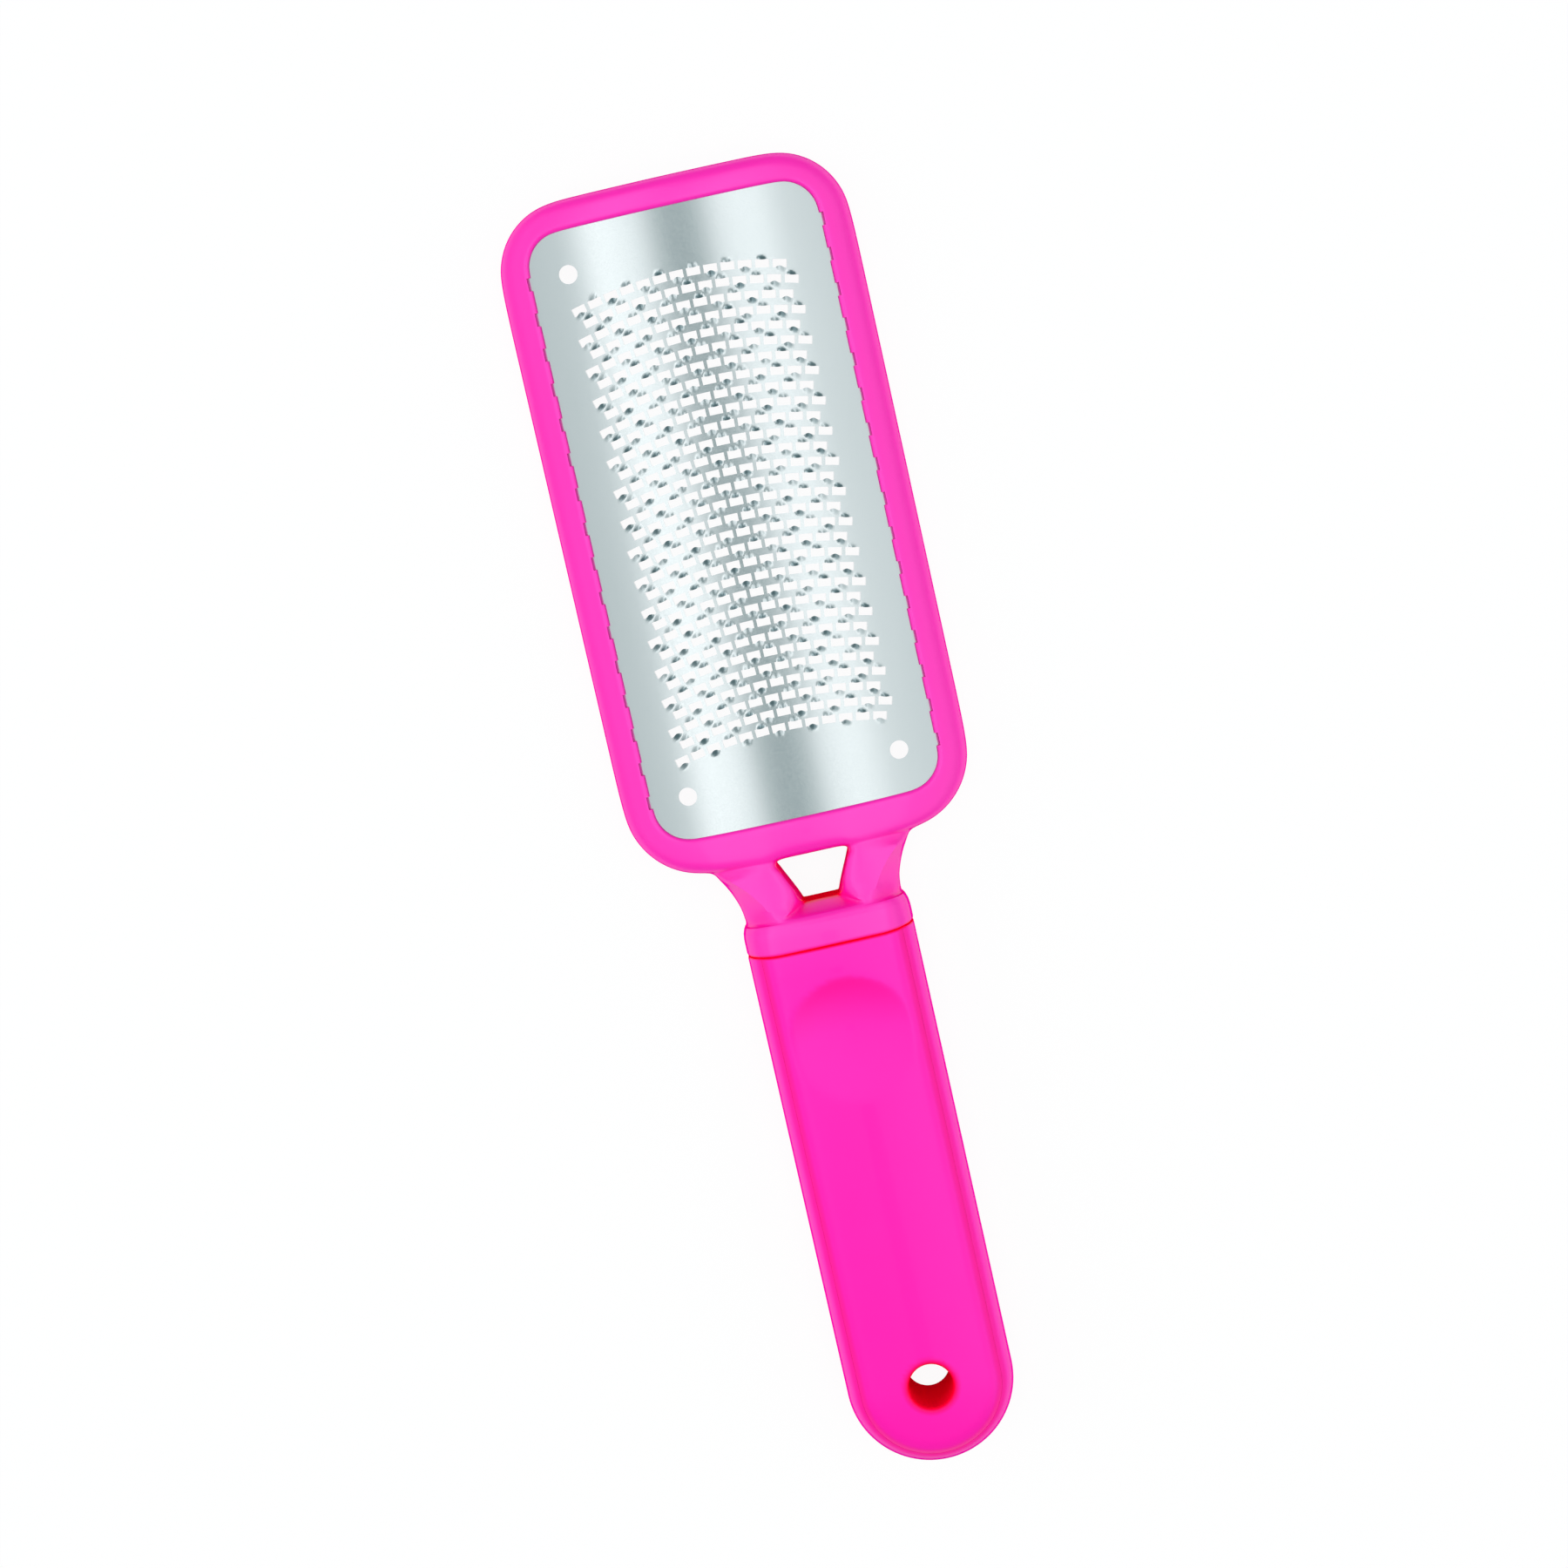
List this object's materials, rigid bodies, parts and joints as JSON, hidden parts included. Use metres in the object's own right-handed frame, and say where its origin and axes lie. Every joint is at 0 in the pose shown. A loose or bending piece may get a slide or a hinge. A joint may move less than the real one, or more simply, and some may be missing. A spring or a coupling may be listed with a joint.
{
  "type": "foot file",
  "caption": "Long-handled foot rasp: arched perforated steel plate held in a rounded plastic head frame, open strutted neck, and a flat rounded handle with thumb dimple and hanging hole.",
  "frame": {"origin": "centre of the bounding box, on the flat back that the tool lies on", "axes": "+Y along the tool towards the head end, +Z out of the cutting face, +X across the tool to the right seen from the front with the head up"},
  "size_m": [0.071, 0.265, 0.0164],
  "materials": {
    "plate_steel": "smooth satin stainless sheet, 0.5 mm, with punched and raised cutting edges",
    "frame_plastic": "satin hot pink moulded plastic",
    "grip_soft": "soft-touch hot pink, slightly duller than the frame",
    "screw_steel": "zinc-plated steel screws, hidden under the grip cover"
  },
  "bodies": {
    "root": {"rasp_plate": "plate_steel", "head_frame": "frame_plastic", "handle_back_shell": "frame_plastic", "handle_front_shell": "frame_plastic", "grip_cover": "grip_soft", "tang_screw_upper": "screw_steel", "tang_screw_lower": "screw_steel", "butt_screw": "screw_steel"}
  },
  "joints": []
}
